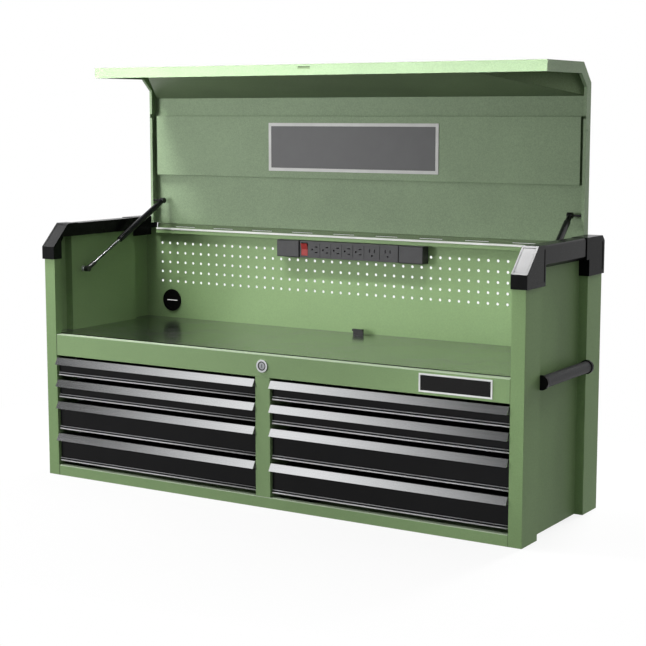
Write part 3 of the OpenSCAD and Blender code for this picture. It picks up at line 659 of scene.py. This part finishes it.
low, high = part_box("back_panel")
highlightTop = high[2] + rearFlangeHighlight["aboveFlange"]
highlightLow = (-rearFlangeHighlight["halfLength"], low[1] - rearFlangeHighlight["thick"], highlightTop - rearFlangeHighlight["height"])
highlightHigh = (rearFlangeHighlight["halfLength"], low[1], highlightTop)
flangeHighlight = barPiece("rearFlangeHighlight", highlightLow, highlightHigh, satinPaint("painted flange highlight", flangeHighlightPaint), "cabinet")
print("flange highlight built")

# leaning liner of the lid: its ends are cut back at an angle and closed by thin plates
lidLiner = {"cutBack": 0.156, "endReach": 0.001, "plateThick": 0.0008,
            "plateOutline": [(-0.0355, 0.9637), (-0.0355, 0.9835), (0.1500, 0.9835), (0.1940, 0.9442),
                             (0.1940, 0.9170)]}
linerLow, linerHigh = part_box("lid_liner")


def linerEnd(y):
    share = (linerHigh[1] - y) / (linerHigh[1] - linerLow[1])
    return linerHigh[0] - lidLiner["cutBack"] * min(1, max(0, share))


linerMesh = nodes["lid_liner"].data.copy()
linerMesh.materials.clear()
for vert in linerMesh.vertices:
    if abs(vert.co.x) > linerHigh[0] - lidLiner["endReach"]:
        vert.co.x = math.copysign(linerEnd(vert.co.y), vert.co.x)
# the sheet takes the darker green, painted shade for the shadow under the lid's lip
linerSheet = newPiece("lidLinerSheet", linerMesh, [shadeCoat], "lid")
roundEdges(linerSheet, edgeRounding["sheet"])
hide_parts("lid_liner")


def obliquePlate(name, outline, sign, finish, body):
    shape = bmesh.new()
    outer, inner = ([shape.verts.new((sign * (linerEnd(y) - inset), y, z)) for y, z in outline]
                    for inset in (0, lidLiner["plateThick"]))
    joinRows(shape, outer, inner)
    shape.faces.new(outer)
    shape.faces.new(inner)
    return shapedPiece(name, shape, [finish], body)


for side, sign in (("left", -1), ("right", 1)):
    # the end plates take the lighter green, painted light
    plate = obliquePlate(side + "LinerEnd", lidLiner["plateOutline"], sign, endLitCoat, "lid")
print("lid liner built")

# rivets through both hinge leaves
hingeRivets = {"radius": 0.0032, "height": 0.0013, "sides": 14, "count": 11, "margin": 0.04, "lift": 0.0012,
               "edge": 0.011}
for node, body in (("hinge_body_leaf", "cabinet"), ("hinge_lid_leaf", "lid")):
    low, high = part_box(node)
    start = low[0] + hingeRivets["margin"]
    step = (high[0] - low[0] - 2 * hingeRivets["margin"]) / (hingeRivets["count"] - 1)
    y = low[1] + hingeRivets["lift"]
    z = low[2] + hingeRivets["edge"] if body == "cabinet" else high[2] - hingeRivets["edge"]
    spots = [(start + k * step, y, z) for k in range(hingeRivets["count"])]
    rivets = domedHeads(body + "HingeRivets", spots, (0, 1, 0), hingeRivets, zinc, body)

# screws that hold the back panel to the rear bands
panelScrews = {"radius": 0.0042, "height": 0.0020, "sides": 16, "rows": 5, "inset": 0.012, "foot": 0.04,
               "head": 0.10}
low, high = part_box("back_panel")
pitch = (high[2] - low[2] - panelScrews["foot"] - panelScrews["head"]) / (panelScrews["rows"] - 1)
spots = [(x, high[1], low[2] + panelScrews["foot"] + k * pitch)
         for x in (low[0] + panelScrews["inset"], high[0] - panelScrews["inset"])
         for k in range(panelScrews["rows"])]
screws = domedHeads("backPanelScrews", spots, (0, 1, 0), panelScrews, zinc, "cabinet")
print("fasteners built")


# pale floor that keeps the shadow and shows white to the camera and in reflections
floorSettings = {"size": 40, "drop": 0.0005, "colour": (0.80, 0.80, 0.80), "bounce": (0.10, 0.10, 0.10),
                 "roughness": 0.9, "paleShare": 0.84, "fadeFrom": 0.62, "fadeTo": 1.5, "squeeze": (1, 1.6, 1)}


def seenRays(finish):
    rays = [finish.add("ShaderNodeLightPath", output=key)
            for key in ("Is Camera Ray", "Is Glossy Ray", "Is Transmission Ray")]
    return finish.levels(rays[0] + rays[1] + rays[2], 0, 1)


bpy.ops.mesh.primitive_plane_add(size=floorSettings["size"], location=(0, 0, -floorSettings["drop"]))
floor = bpy.context.object
floor.name = "floor"
ground = Finish("pale floor")
seen = seenRays(ground)
ground.surface(
    Base_Color=ground.blend(seen, floorSettings["bounce"], floorSettings["colour"]),
    Roughness=floorSettings["roughness"],
    Specular_IOR_Level=0.0,
)
glow = ground.add("ShaderNodeEmission", None, {"Color": (1, 1, 1), "Strength": 1.0})
# the floor grows white away from the chest, so that no horizon shows
away = ground.vector("LENGTH", ground.stretched(floorSettings["squeeze"]), output="Value")
fade = ground.levels(away, floorSettings["fadeFrom"], floorSettings["fadeTo"])
share = fade * (1 - floorSettings["paleShare"]) + floorSettings["paleShare"]
ground.show(ground.add("ShaderNodeMixShader", None, {0: seen * share, 1: ground.lit, 2: glow}))
floor.data.materials.append(ground.material)


# white surround where it is seen, and a softer one as light
surround = {"seen": 1.0, "light": 0.36}


class Sky(Finish):
    def __init__(self, world):
        self.tree = world.node_tree
        self.tree.nodes.clear()
        self.output = self.tree.nodes.new("ShaderNodeOutputWorld")


world = bpy.data.worlds.new("surround")
world.use_nodes = True
bpy.context.scene.world = world
sky = Sky(world)
strength = seenRays(sky) * (surround["seen"] - surround["light"]) + surround["light"]
sky.show(sky.add("ShaderNodeBackground", None, {"Color": (1, 1, 1), "Strength": strength}))


# cards seen only in glossy surfaces, with one level in the middle and one at both ends
cards = {
    "frontCard": {"place": (-1.59, -1.65, 2.05), "size": (3.6, 1.6), "bright": 0.98, "dark": 0.04,
                  "flat": 0.05, "falloff": 1.06},
    "leftCard": {"place": (-1.97, -0.33, 2.05), "size": (0.60, 0.40), "bright": 7, "dark": 7,
                 "flat": 0.10, "falloff": 0.30},
    "topCard": {"place": (-0.03, -0.27, 2.0), "size": (0.50, 0.34), "bright": 110, "dark": 70,
                "flat": 0.10, "falloff": 0.25},
}


def cardPiece(name, settings):
    bpy.ops.mesh.primitive_plane_add(size=1, location=settings["place"])
    piece = bpy.context.object
    piece.name = name
    piece.scale = (*settings["size"], 1)
    bpy.ops.object.transform_apply(location=False, rotation=False, scale=True)
    finish = Finish(name)
    gap = finish.add("ShaderNodeMath", {"operation": "ABSOLUTE"}, {0: finish.axis("X")})
    shade = finish.levels(gap, settings["falloff"], settings["flat"])
    level = shade * (settings["bright"] - settings["dark"]) + settings["dark"]
    finish.surface(
        Base_Color=(0, 0, 0),
        Roughness=1.0,
        Specular_IOR_Level=0.0,
        Emission_Strength=1.0,
        Emission_Color=finish.add("ShaderNodeCombineColor", None, {0: level, 1: level, 2: level}),
    )
    piece.data.materials.append(finish.material)
    for flag in ("camera", "diffuse", "transmission", "volume_scatter", "shadow"):
        setattr(piece, "visible_" + flag, False)


for name, settings in cards.items():
    cardPiece(name, settings)


# soft lamps: a plain one lights the chest and leaves no mirror image in metal
lamps = {
    "lipStrip": {"place": (-0.10, -0.085, 1.06), "target": (-0.10, -0.042, 0.976), "size": (1.50, 0.03),
                 "watts": 0.59, "spread": 20, "plain": True},
    "linerFill": {"place": (0.40, 0.0, 0.45), "target": (0.43, 0.07, 0.96), "size": (0.3, 0.1),
                  "watts": 0.028, "spread": 60, "plain": True},
    "upperLeft": {"place": (-0.95, -0.50, 2.0), "target": (0.1, 0.0, 0.35), "size": (0.5, 0.40),
                  "watts": 32, "plain": True},
    "lidLeft": {"place": (-1.7, -1.2, 0.98), "target": (-0.3, 0.2, 0.84), "size": (0.4, 0.3),
                "watts": 0.36, "spread": 40, "plain": True},
    "frontLeft": {"place": (-1.6, -2.2, 0.80), "target": (0.0, 0.2, 0.75), "size": (0.8, 0.5), "watts": 31},
    "front": {"place": (-0.9, -3.0, 0.80), "target": (0.0, 0.2, 0.75), "size": (0.8, 0.5), "watts": 3.3},
    "rightPost": {"place": (0.55, -1.3, 0.22), "target": (0.55, 0.0, 0.25), "size": (0.3, 0.3),
                  "watts": 0.21, "spread": 36, "plain": True},
    "backPanel": {"place": (0.15, -1.6, 0.95), "target": (0.15, 0.19, 0.40), "size": (1.0, 0.06),
                  "watts": 0.13, "spread": 12, "plain": True},
    "behind": {"place": (0.4, 3.0, 1.4), "target": (0.0, 0.2, 0.5), "size": (1.6, 1.0),
               "watts": 50, "spread": 70, "plain": True},
    "side": {"place": (2.6, -0.6, 0.9), "target": (0.63, 0.0, 0.35), "size": (0.8, 0.8),
             "watts": 0.8, "plain": True},
}
fullSpread = 180


def softLight(name, settings):
    lamp = bpy.data.lights.new(name, "AREA")
    lamp.shape = "RECTANGLE"
    lamp.size, lamp.size_y = settings["size"]
    lamp.energy = settings["watts"]
    lamp.spread = math.radians(settings.get("spread", fullSpread))
    obj = bpy.data.objects.new(name, lamp)
    bpy.context.scene.collection.objects.link(obj)
    obj.location = settings["place"]
    aim = Vector(settings["target"]) - Vector(settings["place"])
    obj.rotation_euler = aim.to_track_quat("-Z", "Y").to_euler()
    obj.visible_glossy = not settings.get("plain", False)
    obj.visible_camera = False


for name, settings in lamps.items():
    softLight(name, settings)

# camera at the photograph's angle, with its focal length in pixels of the frame
view = {"place": (1.91396, -3.00070, 0.87656), "turn": 32.05, "tilt": 7.69, "focal": 1547.21, "frame": 646,
        "sensor": 36}
lens = bpy.data.cameras.new("camera")
lens.sensor_width = view["sensor"]
lens.lens = view["focal"] / view["frame"] * view["sensor"]
camera = bpy.data.objects.new("camera", lens)
bpy.context.scene.collection.objects.link(camera)
camera.location = view["place"]
camera.rotation_euler = (math.radians(90 - view["tilt"]), 0, math.radians(view["turn"]))
bpy.context.scene.camera = camera
bpy.context.scene.view_settings.view_transform = "Standard"
print("stage set")

bpy.context.view_layer.update()
